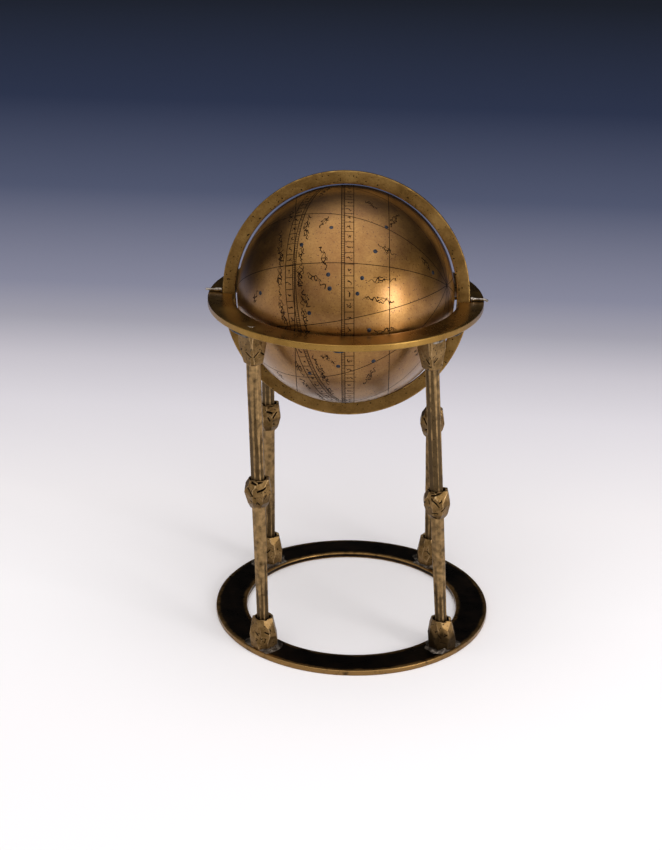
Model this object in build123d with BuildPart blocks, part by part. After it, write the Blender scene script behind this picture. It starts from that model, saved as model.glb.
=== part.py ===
from build123d import *
import os
from math import cos, radians, sin, sqrt, tan

# A small celestial globe in its meridian ring, carried by the slotted horizon ring of a
# four-legged stand. Millimetres and degrees. +Z is up, the origin is on the surface that the
# stand rests on, in the middle of its footprint, and the globe's polar axis runs along X.

# Globe
GLOBE_R = 43.0
GLOBE_WALL = 1.2
LAP_LENGTH = 1.6
LAP_GAP = 0.03
STUD_R = 0.85
STUD_DEPTH = 0.45

# Meridian ring, leaning back in its slots
MERIDIAN_GAP = 0.8
MERIDIAN_WIDTH = 5.2
MERIDIAN_T = 2.0
MERIDIAN_LEAN = 8.6
SWING_LIMIT = 10.0

# Pole pins
PIN_R = 0.6
PIN_FIT = 0.03
PIN_DEPTH = 3.0
SHOULDER_STEP = 0.2
SHOULDER_GAP = 0.2
SHOULDER_LEFT = 3.0
SHOULDER_RIGHT = 1.3
PIN_TIP_R = 0.48
PIN_OVERHANG = 1.3
PIN_BEND = 38.0
PIN_BEND_LENGTH = 1.6
PIN_BEND_R = 1.2
PIN_REST_GAP = 0.02

# Horizon ring
HORIZON_TOP = 139.0
HORIZON_T = 2.6
HORIZON_GAP = 1.6
HORIZON_RIM = 5.1
SLOT_END_GAP = 0.5
SLOT_SIDE_GAP = 0.12
HORIZON_EDGE = 0.3

# Base ring
BASE_T = 2.2
BASE_IN_R = 44.2
BASE_WIDTH = 13.0
BASE_EDGE = 0.4

# Legs. The hand-made stand is a little out of true: its horizon ring sits to the left of its
# base ring by this much, half of it on each side of the origin
STAND_SKEW = 4.7
LEG_SIDES = 8
UPPER_SHAFT_TOP = 5.4
UPPER_SHAFT_LOW = 5.0
LOWER_SHAFT_TOP = 5.1
LOWER_SHAFT_LOW = 4.4
SOCKET_DEPTH = 4.0
MOUTH_DEPTH = 1.4
MOUTH_GAP = 0.7
MOUTH_WALL = 0.8

# Each leg: its direction round the stand at its foot and at its head, and its knop's middle
LEGS = {
    "front_left": (229.5, 228.2, 68.8),
    "front_right": (319.5, 314.3, 65.6),
    "back_right": (51, 46, 69.3),
    "back_left": (138.5, 135, 70.2),
}

# Foot: it swells below its rim, and draws in again where it stands on the base ring
FOOT_H = 12.6
FOOT_BELLY_Z = 4.8
FOOT_SWELL = 2.9
FOOT_TUCK = 0.8
FOOT_MARGIN = 0.75

# Knop: a neck fits round the lower shaft, and the belly swells below the rim
KNOP_H = 14.3
KNOP_BELLY_Z = 8.4
KNOP_NECK_WALL = 0.5
KNOP_SWELL = 1.8

# Capital: a square block with its corners cut, flaring up to a straight band under the ring
CAPITAL_H = 13.1
CAPITAL_FLARE_H = 8.8
CAPITAL_WALL = 0.4
CAPITAL_MARGIN = 0.9
CAPITAL_LOW_CUT = 1.2
CAPITAL_TOP_CUT = 0.5

# Solder left round the feet and the capitals
BASE_SOLDER_SPREAD = 2.1
BASE_SOLDER_T = 0.5
TOP_SOLDER_SPREAD = 0.6
TOP_SOLDER_T = 0.4
SOLDER_INSET = 0.5

# Worked out from the sizes above
SHOULDER_R = PIN_R + SHOULDER_STEP
AXIS_Z = HORIZON_TOP + SHOULDER_R + PIN_REST_GAP
MERIDIAN_IN_R = GLOBE_R + MERIDIAN_GAP
MERIDIAN_OUT_R = MERIDIAN_IN_R + MERIDIAN_WIDTH
SLOT_END_R = MERIDIAN_OUT_R + SLOT_END_GAP
HORIZON_LOW = HORIZON_TOP - HORIZON_T
HORIZON_IN_R = GLOBE_R + HORIZON_GAP
HORIZON_OUT_R = SLOT_END_R + HORIZON_RIM
BASE_OUT_R = BASE_IN_R + BASE_WIDTH
BASE_X = STAND_SKEW / 2
HORIZON_X = BASE_X - STAND_SKEW
GLOBE_CENTRE = Vector(HORIZON_X, 0, AXIS_Z)
POLAR_AXIS = Axis(GLOBE_CENTRE, (1, 0, 0))
CORNER = 1 / cos(radians(180 / LEG_SIDES))
FOOT_MOUTH_R = LOWER_SHAFT_LOW / 2 * CORNER + MOUTH_GAP
FOOT_RIM = 2 * (FOOT_MOUTH_R + MOUTH_WALL)
FOOT_BELLY = FOOT_RIM + FOOT_SWELL
FOOT_LOW = FOOT_BELLY - FOOT_TUCK
KNOP_MOUTH_R = UPPER_SHAFT_LOW / 2 * CORNER + MOUTH_GAP
KNOP_RIM = 2 * (KNOP_MOUTH_R + MOUTH_WALL)
KNOP_BELLY = KNOP_RIM + KNOP_SWELL
KNOP_NECK = LOWER_SHAFT_TOP + 2 * KNOP_NECK_WALL
CAPITAL_LOW = UPPER_SHAFT_TOP + 2 * CAPITAL_WALL
CAPITAL_TOP = HORIZON_OUT_R - HORIZON_IN_R - 2 * CAPITAL_MARGIN
BASE_SOLDER_R = FOOT_BELLY / 2 + BASE_SOLDER_SPREAD
TOP_SOLDER_R = CAPITAL_TOP / sqrt(2) + TOP_SOLDER_SPREAD
LEG_FOOT_R = BASE_OUT_R - FOOT_BELLY / 2 - FOOT_MARGIN
LEG_TOP_R = (HORIZON_IN_R + HORIZON_OUT_R) / 2

# Inlaid stars: angle round the polar axis from the front, upwards, and angle from the
# celestial equator towards the pole on the right
STARS = (
    # the side that faces forward
    (55, -6), (29, -6), (22, -5), (9, -15), (18, -46), (43, 17), (60, 22), (28, 11), (20, 9),
    (1, 15.5), (41, 53), (-20, 0), (-18, 18), (-28, -15), (46, -21),
    # the great bear
    (98, 24), (104, 30), (111, 27), (118, 34), (126, 38), (133, 33),
    # the great dog
    (97, -14), (106, -22), (113, -12), (109, -33), (121, -21),
    # the river
    (138, 10), (146, 18), (157, 14), (166, 25), (175, 19),
    # the hunter
    (131, -8), (142, -16), (137, -28), (152, -33), (161, -24), (168, -40),
    # the whale
    (187, 8), (197, 17), (209, 12), (203, 33), (218, 25),
    # the winged horse
    (181, -12), (194, -22), (205, -11), (200, -37), (216, -29), (223, -15),
    # the centaur and the scales
    (302, 30), (294, 18), (286, 36), (298, -18), (281, -12), (274, -26), (263, 15),
    # the archer, the eagle and the swan
    (232, 14), (243, 24), (255, 17), (239, -29), (251, -38), (260, -22), (228, 42),
    # stars round the two poles
    (140, 66), (250, 68), (180, -66), (290, -60),
)


def star_plane(turn, height):
    """A plane on the globe's surface at a star, its normal pointing straight out."""
    out = Vector(
        sin(radians(height)),
        -cos(radians(height)) * cos(radians(turn)),
        cos(radians(height)) * sin(radians(turn)),
    )
    return Plane(origin=GLOBE_CENTRE + out * (GLOBE_R - STUD_DEPTH), z_dir=out)


def leg_plane(z, leg):
    """A level plane on a leg's centre line at height z, its X pointing outwards."""
    share = (z - BASE_T) / (HORIZON_LOW - BASE_T)
    angle = leg[0] + (leg[1] - leg[0]) * share
    radius = LEG_FOOT_R + (LEG_TOP_R - LEG_FOOT_R) * share
    out = Vector(cos(radians(angle)), sin(radians(angle)), 0)
    centre = Vector(BASE_X - STAND_SKEW * share, 0, z)
    return Plane(origin=centre + out * radius, x_dir=out, z_dir=(0, 0, 1))


def faceted_bar(leg, sections):
    """A bar lofted through level polygons, each given as its height and width across flats."""
    with BuildPart() as bar:
        for z, across in sections:
            with BuildSketch(leg_plane(z, leg)):
                RegularPolygon(across / 2, LEG_SIDES, major_radius=False, rotation=180 / LEG_SIDES)
        loft(ruled=True)
    return bar


def square_block(leg, sections):
    """A block lofted through level squares, each given as its height, side and corner cut."""
    with BuildPart() as block:
        for z, side, cut in sections:
            with BuildSketch(leg_plane(z, leg)) as level:
                Rectangle(side, side)
                chamfer(level.vertices(), length=cut)
        loft(ruled=True)
    return block


def save(piece, name):
    """Label a finished piece and write it as its own file."""
    piece.part.label = name
    export_step(piece.part, f"parts/{name}.step")


def make_base_ring():
    """The flat ring that the stand rests on."""
    with BuildPart() as base_ring:
        with BuildSketch(Plane(origin=(BASE_X, 0, 0))):
            Circle(BASE_OUT_R)
            Circle(BASE_IN_R, mode=Mode.SUBTRACT)
        extrude(amount=BASE_T)
        chamfer(base_ring.edges().group_by(Axis.Z)[-1], BASE_EDGE)
    save(base_ring, "base_ring")


def make_horizon_ring():
    """The flat upper ring, with a slot at each side that the meridian ring drops into."""
    drop = AXIS_Z - HORIZON_LOW
    slot_half = (
        drop * tan(radians(SWING_LIMIT))
        + MERIDIAN_T / 2 / cos(radians(SWING_LIMIT))
        + SLOT_SIDE_GAP
    )
    with BuildPart() as horizon_ring:
        with BuildSketch(Plane(origin=(HORIZON_X, 0, HORIZON_LOW))):
            Circle(HORIZON_OUT_R)
            Circle(HORIZON_IN_R, mode=Mode.SUBTRACT)
        extrude(amount=HORIZON_T)
        chamfer(horizon_ring.edges().group_by(Axis.Z)[-1], HORIZON_EDGE)
        with BuildSketch(Plane(origin=(HORIZON_X, 0, HORIZON_LOW))):
            Rectangle(2 * SLOT_END_R, 2 * slot_half)
        extrude(amount=HORIZON_T, mode=Mode.SUBTRACT)
    save(horizon_ring, "horizon_ring")


def make_legs():
    """Four legs, each a foot, a lower shaft, a knop, an upper shaft and a capital."""
    feet = []
    capitals = []
    for place, leg in LEGS.items():
        knop_low = leg[2] - KNOP_H / 2
        knop_top = knop_low + KNOP_H
        foot_top = BASE_T + FOOT_H
        capital_low = HORIZON_LOW - CAPITAL_H
        lower_shaft = faceted_bar(
            leg,
            (
                (foot_top - MOUTH_DEPTH - SOCKET_DEPTH, LOWER_SHAFT_LOW),
                (knop_low + SOCKET_DEPTH, LOWER_SHAFT_TOP),
            ),
        )
        upper_shaft = faceted_bar(
            leg,
            (
                (knop_top - MOUTH_DEPTH - SOCKET_DEPTH, UPPER_SHAFT_LOW),
                (capital_low + SOCKET_DEPTH, UPPER_SHAFT_TOP),
            ),
        )
        foot_sections = (
            (BASE_T, FOOT_LOW),
            (BASE_T + FOOT_BELLY_Z, FOOT_BELLY),
            (foot_top, FOOT_RIM),
        )
        with BuildPart() as foot:
            add(faceted_bar(leg, foot_sections).part)
            with BuildSketch(leg_plane(foot_top, leg)):
                Circle(FOOT_MOUTH_R)
            extrude(amount=-MOUTH_DEPTH, mode=Mode.SUBTRACT)
            add(lower_shaft.part, mode=Mode.SUBTRACT)
        knop_sections = (
            (knop_low, KNOP_NECK),
            (knop_low + KNOP_BELLY_Z, KNOP_BELLY),
            (knop_top, KNOP_RIM),
        )
        with BuildPart() as knop:
            add(faceted_bar(leg, knop_sections).part)
            with BuildSketch(leg_plane(knop_top, leg)):
                Circle(KNOP_MOUTH_R)
            extrude(amount=-MOUTH_DEPTH, mode=Mode.SUBTRACT)
            add(lower_shaft.part, mode=Mode.SUBTRACT)
            add(upper_shaft.part, mode=Mode.SUBTRACT)
        capital_sections = (
            (capital_low, CAPITAL_LOW, CAPITAL_LOW_CUT),
            (capital_low + CAPITAL_FLARE_H, CAPITAL_TOP, CAPITAL_TOP_CUT),
            (HORIZON_LOW, CAPITAL_TOP, CAPITAL_TOP_CUT),
        )
        with BuildPart() as capital:
            add(square_block(leg, capital_sections).part)
            add(upper_shaft.part, mode=Mode.SUBTRACT)
        save(foot, f"foot_{place}")
        save(lower_shaft, f"lower_shaft_{place}")
        save(knop, f"knop_{place}")
        save(upper_shaft, f"upper_shaft_{place}")
        save(capital, f"capital_{place}")
        feet.append(foot)
        capitals.append(capital)
    return feet, capitals


def make_base_solder(feet):
    """The flat puddle of solder round each foot, kept inside the base ring's edges."""
    with BuildPart() as base_solder:
        for leg in LEGS.values():
            with BuildSketch(leg_plane(BASE_T, leg)):
                Circle(BASE_SOLDER_R)
            extrude(amount=BASE_SOLDER_T)
        with BuildSketch(Plane(origin=(BASE_X, 0, BASE_T))):
            Circle(BASE_OUT_R - BASE_EDGE - SOLDER_INSET)
            Circle(BASE_IN_R + BASE_EDGE + SOLDER_INSET, mode=Mode.SUBTRACT)
        extrude(amount=BASE_SOLDER_T, mode=Mode.INTERSECT)
        for foot in feet:
            add(foot.part, mode=Mode.SUBTRACT)
    save(base_solder, "base_solder")


def make_horizon_solder(capitals):
    """The skirt of solder round each capital, against the underside of the horizon ring."""
    with BuildPart() as horizon_solder:
        for leg in LEGS.values():
            with BuildSketch(leg_plane(HORIZON_LOW, leg)):
                Circle(TOP_SOLDER_R)
            extrude(amount=-TOP_SOLDER_T)
        with BuildSketch(Plane(origin=(HORIZON_X, 0, HORIZON_LOW))):
            Circle(HORIZON_OUT_R - SOLDER_INSET)
            Circle(HORIZON_IN_R + SOLDER_INSET, mode=Mode.SUBTRACT)
        extrude(amount=-TOP_SOLDER_T, mode=Mode.INTERSECT)
        for capital in capitals:
            add(capital.part, mode=Mode.SUBTRACT)
    save(horizon_solder, "horizon_solder")


def make_meridian_ring():
    """The ring round the globe, bored through at both sides for the pole pins."""
    lean = radians(MERIDIAN_LEAN)
    face = Plane(origin=GLOBE_CENTRE, x_dir=(1, 0, 0), z_dir=(0, -cos(lean), sin(lean)))
    with BuildPart() as meridian_ring:
        with BuildSketch(face):
            Circle(MERIDIAN_OUT_R)
            Circle(MERIDIAN_IN_R, mode=Mode.SUBTRACT)
        extrude(amount=MERIDIAN_T / 2, both=True)
        with BuildSketch(Plane(origin=GLOBE_CENTRE, z_dir=(1, 0, 0))):
            Circle(PIN_R + PIN_FIT)
        extrude(amount=MERIDIAN_OUT_R, both=True, mode=Mode.SUBTRACT)
    save(meridian_ring, "meridian_ring")


def make_pole_pin(name, side, shoulder_length, bend):
    """One pole pin: a shank in the globe, a shoulder on the horizon ring and a thin tip."""
    shank_start = GLOBE_R - GLOBE_WALL - PIN_DEPTH
    shoulder_start = MERIDIAN_OUT_R + SHOULDER_GAP
    shoulder_end = shoulder_start + shoulder_length
    tip_end = HORIZON_OUT_R + PIN_OVERHANG
    tip_bend = tip_end - PIN_BEND_LENGTH
    drop = PIN_BEND_LENGTH * tan(radians(bend))
    out = Vector(side, 0, 0)
    with BuildPart() as pole_pin:
        for start, end, radius in (
            (shank_start, shoulder_start, PIN_R),
            (shoulder_start, shoulder_end, SHOULDER_R),
        ):
            with BuildSketch(Plane(origin=GLOBE_CENTRE + out * start, z_dir=out)):
                Circle(radius)
            extrude(amount=end - start)
        tip_start = GLOBE_CENTRE + out * shoulder_end
        tip_turn = GLOBE_CENTRE + out * tip_bend
        tip_last = GLOBE_CENTRE + out * tip_end + Vector(0, 0, -drop)
        with BuildLine() as route:
            if bend:
                FilletPolyline(tip_start, tip_turn, tip_last, radius=PIN_BEND_R)
            else:
                Line(tip_start, tip_last)
        with BuildSketch(Plane(origin=tip_start, z_dir=out)):
            Circle(PIN_TIP_R)
        sweep(path=route.wire())
    save(pole_pin, name)


def make_star_studs():
    """The inlaid stars: round studs whose heads are flush with the globe."""
    with BuildPart() as star_studs:
        for turn, height in STARS:
            with BuildSketch(star_plane(turn, height)):
                Circle(STUD_R)
            extrude(amount=2 * STUD_DEPTH)
        with Locations(GLOBE_CENTRE):
            Sphere(GLOBE_R, mode=Mode.INTERSECT)
    save(star_studs, "star_studs")
    return star_studs


def half_profile(side, tongue):
    """Half a globe in section: an outer and an inner arc, with a tongue or a rebate at the seam."""
    bore_r = PIN_R + PIN_FIT
    inner_r = GLOBE_R - GLOBE_WALL
    seam_r = GLOBE_R - GLOBE_WALL / 2
    outer_pole = (side * sqrt(GLOBE_R**2 - bore_r**2), bore_r)
    inner_pole = (side * sqrt(inner_r**2 - bore_r**2), bore_r)
    if tongue:
        reach = -side * LAP_LENGTH
        step_r = seam_r
    else:
        reach = side * (LAP_LENGTH + LAP_GAP)
        step_r = seam_r + LAP_GAP
    inner_end = (reach, sqrt(inner_r**2 - reach**2))
    slope = 1 / sqrt(2)
    with BuildLine() as outline:
        outer_middle = (side * GLOBE_R * slope, GLOBE_R * slope)
        ThreePointArc(outer_pole, outer_middle, (0, GLOBE_R))
        Polyline((0, GLOBE_R), (0, step_r), (reach, step_r), inner_end)
        inner_middle = (side * inner_r * slope, inner_r * slope)
        ThreePointArc(inner_end, inner_middle, inner_pole)
        Line(inner_pole, outer_pole)
    return outline


def make_globe_half(name, side, tongue, star_studs):
    """One hollow half of the globe, with a bore for its pole pin and a pocket for each star."""
    section = Plane(origin=GLOBE_CENTRE, x_dir=(1, 0, 0), z_dir=(0, -1, 0))
    outline = half_profile(side, tongue)
    with BuildPart() as globe_half:
        with BuildSketch(section):
            make_face(outline.edges())
        revolve(axis=POLAR_AXIS)
        add(star_studs.part, mode=Mode.SUBTRACT)
    save(globe_half, name)


def main():
    os.makedirs("parts", exist_ok=True)
    make_base_ring()
    make_horizon_ring()
    feet, capitals = make_legs()
    make_base_solder(feet)
    make_horizon_solder(capitals)
    make_meridian_ring()
    make_pole_pin("pole_pin_left", -1, SHOULDER_LEFT, 0)
    make_pole_pin("pole_pin_right", 1, SHOULDER_RIGHT, PIN_BEND)
    star_studs = make_star_studs()
    make_globe_half("globe_half_left", -1, True, star_studs)
    make_globe_half("globe_half_right", 1, False, star_studs)


main()
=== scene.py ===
import bpy
import numpy as np
from mathutils import Matrix, Vector


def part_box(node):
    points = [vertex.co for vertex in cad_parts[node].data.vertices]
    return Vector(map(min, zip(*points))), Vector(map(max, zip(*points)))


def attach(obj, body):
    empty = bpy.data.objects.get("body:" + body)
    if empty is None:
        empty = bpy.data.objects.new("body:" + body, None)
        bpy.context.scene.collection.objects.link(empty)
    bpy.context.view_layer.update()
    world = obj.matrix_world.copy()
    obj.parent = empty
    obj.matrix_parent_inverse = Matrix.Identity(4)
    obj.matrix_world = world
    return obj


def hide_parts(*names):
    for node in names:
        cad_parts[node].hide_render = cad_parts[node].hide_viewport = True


# A small celestial globe of engraved copper-coloured brass, hung by two pins in a meridian ring
# that drops into the slotted horizon ring of a four-legged brass stand. Metres throughout.

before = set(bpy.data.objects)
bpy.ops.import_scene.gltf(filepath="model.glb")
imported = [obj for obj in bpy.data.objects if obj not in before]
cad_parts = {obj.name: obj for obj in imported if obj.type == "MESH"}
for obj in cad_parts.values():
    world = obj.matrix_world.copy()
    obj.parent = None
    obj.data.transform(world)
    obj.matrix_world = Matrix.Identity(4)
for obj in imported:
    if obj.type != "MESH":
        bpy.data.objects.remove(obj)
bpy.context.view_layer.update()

MM = 0.001
LEGS = ("front_left", "front_right", "back_right", "back_left")
X, Y, Z = np.eye(3)
UNMARKED = {"wear": 0.0, "cut": 0.0}


# Reading places and sizes from the frame


def corners_of(node):
    """The places of a frame node's vertices, as an array."""
    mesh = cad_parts[node].data
    flat = np.empty(len(mesh.vertices) * 3)
    mesh.vertices.foreach_get("co", flat)
    return flat.reshape(-1, 3)


def middle_of(points):
    """Half way between the lowest and the highest corner."""
    return (points.min(0) + points.max(0)) / 2


def face_of(node, top):
    """The corners of a node's top or bottom face."""
    points = corners_of(node)
    level = points[:, 2].max() if top else points[:, 2].min()
    return points[np.abs(points[:, 2] - level) < 0.02 * MM]


def half_span(node, top, turn):
    """Half the width of a node's top or bottom face along the level direction at a turn."""
    face = face_of(node, top)
    return np.ptp(face[:, 0] * np.cos(turn) + face[:, 1] * np.sin(turn)) / 2


def end_of(node, top):
    """The middle of a node's top or bottom face, and half its width."""
    face = face_of(node, top)
    return middle_of(face), np.ptp(face[:, 0]) / 2


def half_box(node):
    """Half the width of a node's box along X."""
    low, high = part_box(node)
    return (high.x - low.x) / 2


def unit(vectors):
    """Vectors scaled to length one."""
    return vectors / np.linalg.norm(vectors, axis=-1, keepdims=True)


def whole_turn(count):
    """Angles once round a circle, in equal steps."""
    return np.linspace(0, 2 * np.pi, count, endpoint=False)


def swung(turn, first, second):
    """The direction at a turn from the first of two directions towards the second."""
    return np.cos(turn)[..., None] * first + np.sin(turn)[..., None] * second


# Small irregularities of hand work


def ripple(turn, height, seed, waves=9, top=7):
    """A smooth uneven value from about -1 to 1: a mean of cosines of whole numbers of turns round
    plus a share of the height in millimetres, each with its own phase."""
    dice = np.random.default_rng(seed)
    total = 0
    for _ in range(waves):
        total = total + np.cos(
            dice.integers(0, top) * turn + dice.uniform(-1.2, 1.2) * height + dice.uniform(0, 6.28)
        )
    return total / np.sqrt(waves) / 1.4


# Meshes


def skin(points, marks=None, loop=False, caps=False):
    """Faces over a grid of points (rows, columns, 3). The columns always join up round. The rows
    join up too if loop, and with caps the first and last rows close onto their own middles."""
    rows, columns = points.shape[:2]
    index = np.arange(rows * columns).reshape(rows, columns)
    low = index if loop else index[:-1]
    high = np.roll(index, -1, 0) if loop else index[1:]
    quads = np.stack((low, np.roll(low, -1, 1), np.roll(high, -1, 1), high), -1).reshape(-1, 4)
    corners = points.reshape(-1, 3)
    marks = {name: np.broadcast_to(value, (rows, columns)) for name, value in (marks or {}).items()}
    values = {name: value.reshape(-1) for name, value in marks.items()}
    tris = np.zeros((0, 3), int)
    if caps:
        first, last = index[0], index[-1]
        corners = np.concatenate((corners, [points[0].mean(0), points[-1].mean(0)]))
        foot, head = first * 0 + len(corners) - 2, first * 0 + len(corners) - 1
        under = np.stack((np.roll(first, -1), first, foot), -1)
        over = np.stack((last, np.roll(last, -1), head), -1)
        tris = np.concatenate((under, over))
        values = {
            name: np.append(value, [marks[name][0].mean(), marks[name][-1].mean()])
            for name, value in values.items()
        }
    return corners, quads, tris, values


def outwards(corners, quads, tris):
    """The faces of a closed skin, turned round if its signed volume is below nothing."""
    fans = np.concatenate((quads[:, :3], quads[:, [0, 2, 3]], tris))
    a, b, c = (corners[fans[:, k]] - corners.mean(0) for k in range(3))
    if (np.cross(a, b) * c).sum() < 0:
        return quads[:, ::-1], tris[:, ::-1]
    return quads, tris


def piece(name, skins, material, body, stands_for=(), smooth=True):
    """One object from closed skins, riding on a body and standing for frame nodes."""
    corners, quads, tris, values, start = [], [], [], [], 0
    for part in skins:
        part_quads, part_tris = outwards(*part[:3])
        corners.append(part[0])
        quads.append(part_quads + start)
        tris.append(part_tris + start)
        values.append(part[3])
        start += len(part[0])
    mesh = bpy.data.meshes.new(name)
    faces = np.concatenate(quads).tolist() + np.concatenate(tris).tolist()
    mesh.from_pydata(np.concatenate(corners), [], faces)
    for mark in values[0]:
        layer = mesh.attributes.new(mark, "FLOAT", "POINT")
        layer.data.foreach_set("value", np.concatenate([part[mark] for part in values]))
    mesh.polygons.foreach_set("use_smooth", np.full(len(faces), smooth))
    mesh.materials.append(material)
    mesh.update()
    new = bpy.data.objects.new(name, mesh)
    bpy.context.scene.collection.objects.link(new)
    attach(new, body)
    if stands_for:
        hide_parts(*stands_for)
    return new


def remade(node, how, skins, material, body):
    """The visible piece that takes the place of one frame node."""
    piece(node + "_" + how, skins, material, body, (node,))


def stamp(corners, quads, tris):
    """One skin over many sets of corners (count, corners, 3), the same faces on each."""
    count, size = corners.shape[:2]
    starts = (np.arange(count) * size)[:, None, None]
    quads, tris = outwards(corners[0], quads, tris)
    quads, tris = (quads[None] + starts).reshape(-1, 4), (tris[None] + starts).reshape(-1, 3)
    return corners.reshape(-1, 3), quads, tris, {}


# Materials


def linear(code):
    """An sRGB hex colour as linear red, green, blue and alpha."""
    part = np.array([int(code[k : k + 2], 16) for k in (1, 3, 5)]) / 255
    part = np.where(part <= 0.04045, part / 12.92, ((part + 0.055) / 1.055) ** 2.4)
    return (*part.tolist(), 1.0)


def add(tree, kind, feeds=None, stops=None, **settings):
    """Adds a node: settings are its own properties, feeds go to its sockets as values or links,
    and stops are a ramp's places and colours."""
    node = tree.nodes.new("ShaderNode" + kind)
    for name, value in settings.items():
        setattr(node, name, value)
    for key, value in (feeds or {}).items():
        if isinstance(value, bpy.types.NodeSocket):
            tree.links.new(value, node.inputs[key])
        else:
            node.inputs[key].default_value = value
    if stops:
        ramp = node.color_ramp.elements
        ramp[0].position, ramp[1].position = stops[0][0], stops[-1][0]
        for place, _ in stops[1:-1]:
            ramp.new(place)
        for element, (_, colour) in zip(ramp, stops):
            element.color = linear(colour) if isinstance(colour, str) else (*[colour] * 3, 1.0)
    return node


def noise(tree, place, mm, detail, roughness=0.5):
    """A soft noise whose largest features are about mm millimetres across."""
    feeds = {"Vector": place, "Scale": 1000 / mm, "Detail": detail, "Roughness": roughness}
    return add(tree, "TexNoise", feeds).outputs[0]


def ramp(tree, share, *stops):
    """A value turned into a tone by (place, tone) stops."""
    return add(tree, "ValToRGB", {0: share}, stops=stops).outputs[0]


def blend(tree, share, first, second):
    """Two colours mixed by a share."""
    return add(tree, "Mix", {0: share, 6: first, 7: second}, data_type="RGBA").outputs[2]


def average(tree, share, first, second):
    """Two values mixed by a share."""
    return add(tree, "Mix", {0: share, 2: first, 3: second}, data_type="FLOAT").outputs[0]


def spread_over(tree, value, low, high, first, last):
    """A value from low to high brought to the range from first to last."""
    return add(tree, "MapRange", {0: value, 1: low, 2: high, 3: first, 4: last}).outputs[0]


def new_material(name):
    """An empty material: its node tree, its shader and its Object coordinates."""
    material = bpy.data.materials.new(name)
    material.use_nodes = True
    tree = material.node_tree
    tree.nodes.clear()
    shader = add(tree, "BsdfPrincipled")
    add(tree, "OutputMaterial", {"Surface": shader.outputs[0]})
    place = add(tree, "TexCoord").outputs["Object"]
    return material, tree, shader, place


def metal(
    name, tones, pits, rough, bump=0.3, bright=None, dark=None, cloud_mm=9.0, pit_mm=0.9,
    pit_share=0.66, scratch=0.0, lacquer=0.0, rubbed=(0.22, 0.5),
):
    """A worked and aged metal.

    Colour: three tones spread by soft clouds, broken by fine grain, then small dark pits where a
    noise of pit_mm rises over pit_share. The wear mark of a piece, times a noise, brings
    out the bright tone on its worn edges from the first to the second value of rubbed, and on the
    rings' outer sides it paints a reflection in that tone. Its cut mark brings out the dark tone in
    its chisel cuts and paints shade inside the mouths of the feet and knops. Roughness follows the
    clouds, the grain and the cuts.
    Bump: grain, pits and, with scratch, long fine scratches."""
    material, tree, shader, place = new_material(name)
    cloud, grain = noise(tree, place, cloud_mm, 5.0, 0.62), noise(tree, place, 0.7, 3.0)
    mixed = average(tree, 0.22, cloud, grain)
    colour = ramp(tree, mixed, *zip((0.36, 0.5, 0.64), tones))
    pit = ramp(tree, noise(tree, place, pit_mm, 1.5), (pit_share, 0.0), (pit_share + 0.05, 1.0))
    colour = blend(tree, pit, colour, linear(pits))
    rough_value = spread_over(tree, mixed, 0.35, 0.65, *rough)
    if bright:
        wear = add(tree, "Attribute", attribute_name="wear").outputs["Fac"]
        patchy = noise(tree, place, 2.4, 4.0)
        worn = add(tree, "Math", {0: wear, 1: patchy}, operation="MULTIPLY").outputs[0]
        colour = blend(tree, spread_over(tree, worn, *rubbed, 0.0, 0.9), colour, linear(bright))
    if dark:
        # The cut mark darkens the chisel cuts and also paints shade inside the mouths of feet and
        # knops
        chisel_cuts_and_shade = add(tree, "Attribute", attribute_name="cut").outputs["Fac"]
        colour = blend(tree, chisel_cuts_and_shade, colour, linear(dark))
        rough_value = average(tree, chisel_cuts_and_shade, rough_value, 0.75)
    height = add(tree, "Math", {0: grain, 1: pit}, operation="SUBTRACT").outputs[0]
    if scratch:
        stretched = add(
            tree, "Mapping", {"Vector": place, "Rotation": (0, 0, 0.7), "Scale": (260, 4200, 260)}
        ).outputs[0]
        line = ramp(tree, noise(tree, stretched, 1000.0, 2.0), (0.62, 0.0), (0.66, 1.0))
        height = add(
            tree, "Math", {0: line, 1: -scratch, 2: height}, operation="MULTIPLY_ADD"
        ).outputs[0]
    raised = add(tree, "Bump", {"Height": height, "Strength": bump, "Distance": 0.06 * MM})
    tree.links.new(colour, shader.inputs["Base Color"])
    tree.links.new(rough_value, shader.inputs["Roughness"])
    tree.links.new(raised.outputs[0], shader.inputs["Normal"])
    shader.inputs["Metallic"].default_value = 1.0
    shader.inputs["Coat Weight"].default_value = lacquer
    shader.inputs["Coat Roughness"].default_value = 0.26
    return material


# Cast red brass, turned, burnished and warmed by handling: a satin, coppery sheen with pits
globe_brass = metal(
    "burnished_red_brass", ("#70491A", "#825B27", "#966D34"), "#42200E", (0.28, 0.4),
    bump=0.2, cloud_mm=16.0, pit_mm=0.6, pit_share=0.66, scratch=0.3, lacquer=0.55,
)
# Cast yellow brass, filed flat and dulled olive, with black pits left from the casting
meridian_brass = metal(
    "filed_yellow_brass", ("#5E4522", "#71552D", "#876A3C"), "#241808", (0.34, 0.5),
    bump=0.35, bright="#A8864F", cloud_mm=11.0, pit_mm=0.9, pit_share=0.67, scratch=0.4,
)
# The same brass polished nearly to a mirror and browned by age
horizon_brass = metal(
    "polished_brown_brass", ("#785A2C", "#8B6A35", "#9E7C42"), "#2A1C0A", (0.24, 0.36),
    bump=0.16, bright="#8A6A35", cloud_mm=12.0, pit_mm=0.7, pit_share=0.7, scratch=0.35,
    rubbed=(0.14, 0.38),
)
# Forged and chisel-cut brass, dull with a greenish brown skin, dark in its cuts
leg_brass = metal(
    "chiselled_dull_brass", ("#5A4526", "#715836", "#8A6F4A"), "#2A1D10", (0.36, 0.52),
    bump=0.6, bright="#B89A70", dark="#140D06", cloud_mm=3.6, pit_mm=0.8, pit_share=0.63,
)
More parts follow.
